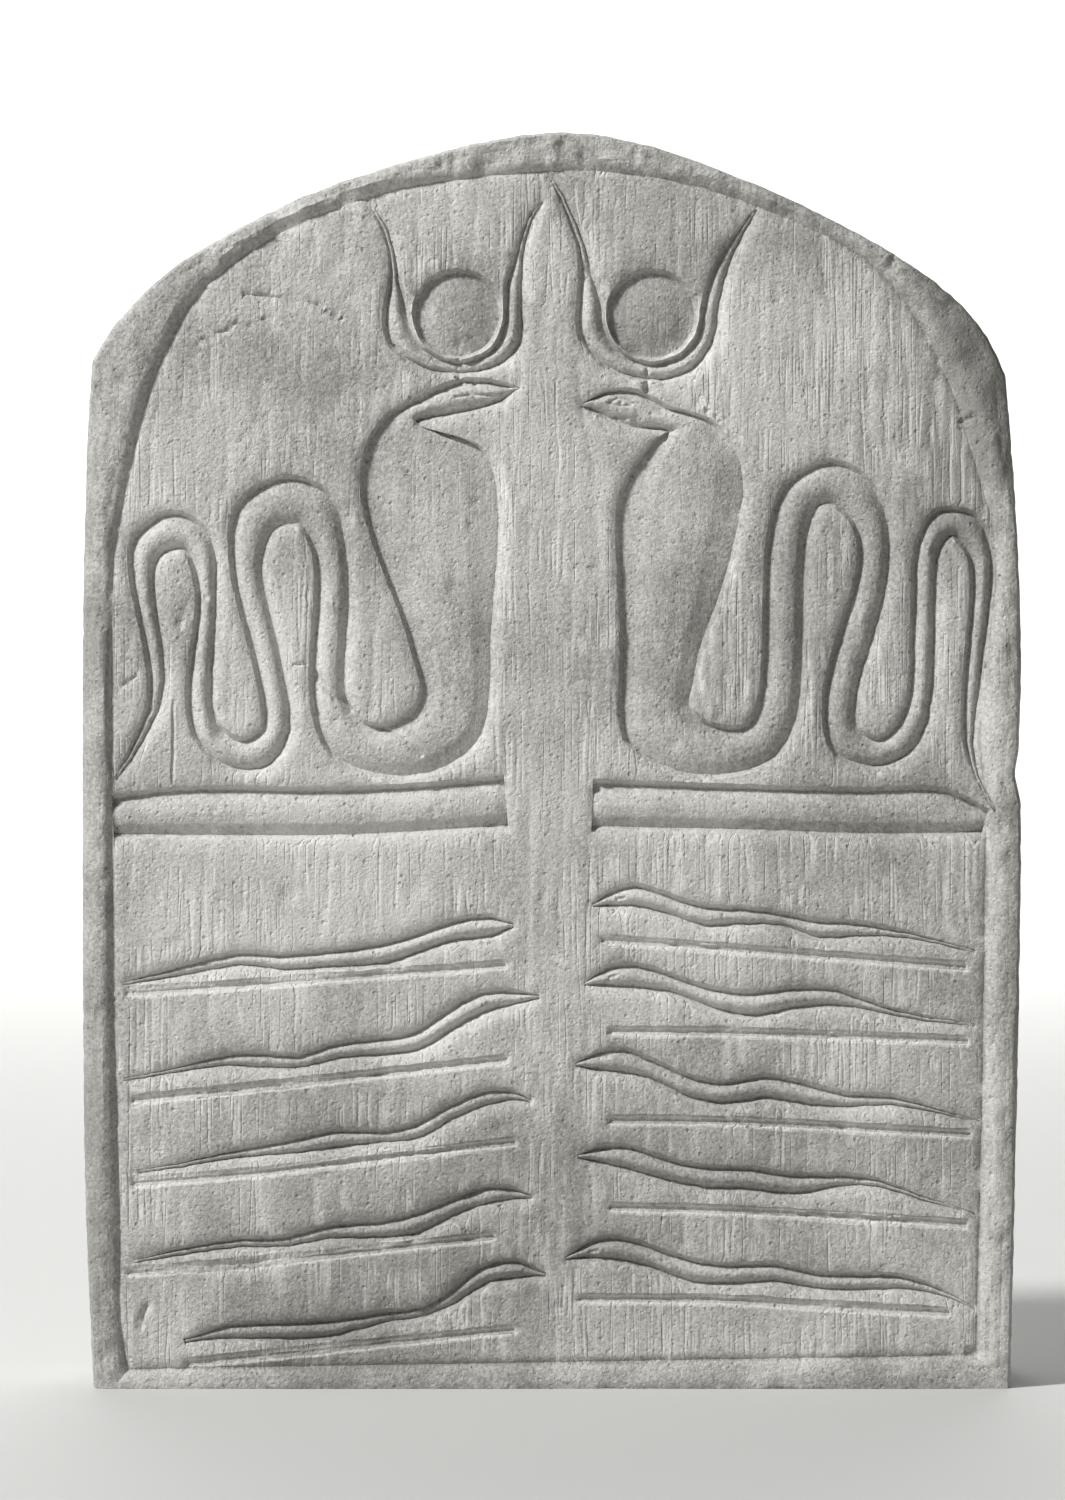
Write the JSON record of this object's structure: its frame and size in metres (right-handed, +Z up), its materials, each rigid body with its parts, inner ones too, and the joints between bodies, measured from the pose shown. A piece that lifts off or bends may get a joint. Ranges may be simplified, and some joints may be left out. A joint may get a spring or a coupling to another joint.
{
  "type": "carved stone stele",
  "caption": "Small round-topped stone slab, carved in sunk relief with facing crowned cobras on bars above columns of low snakes.",
  "frame": {"origin": "middle of the flat underside", "axes": "+Z up, +X to the viewer's right, the carved face looks along -Y"},
  "size_m": [0.202, 0.046, 0.27],
  "materials": {
    "limestone": "hand-cut fine limestone, matt, with scraper marks, pitting and a worn, soiled skin"
  },
  "bodies": {
    "root": {"stele": "limestone"}
  },
  "joints": []
}
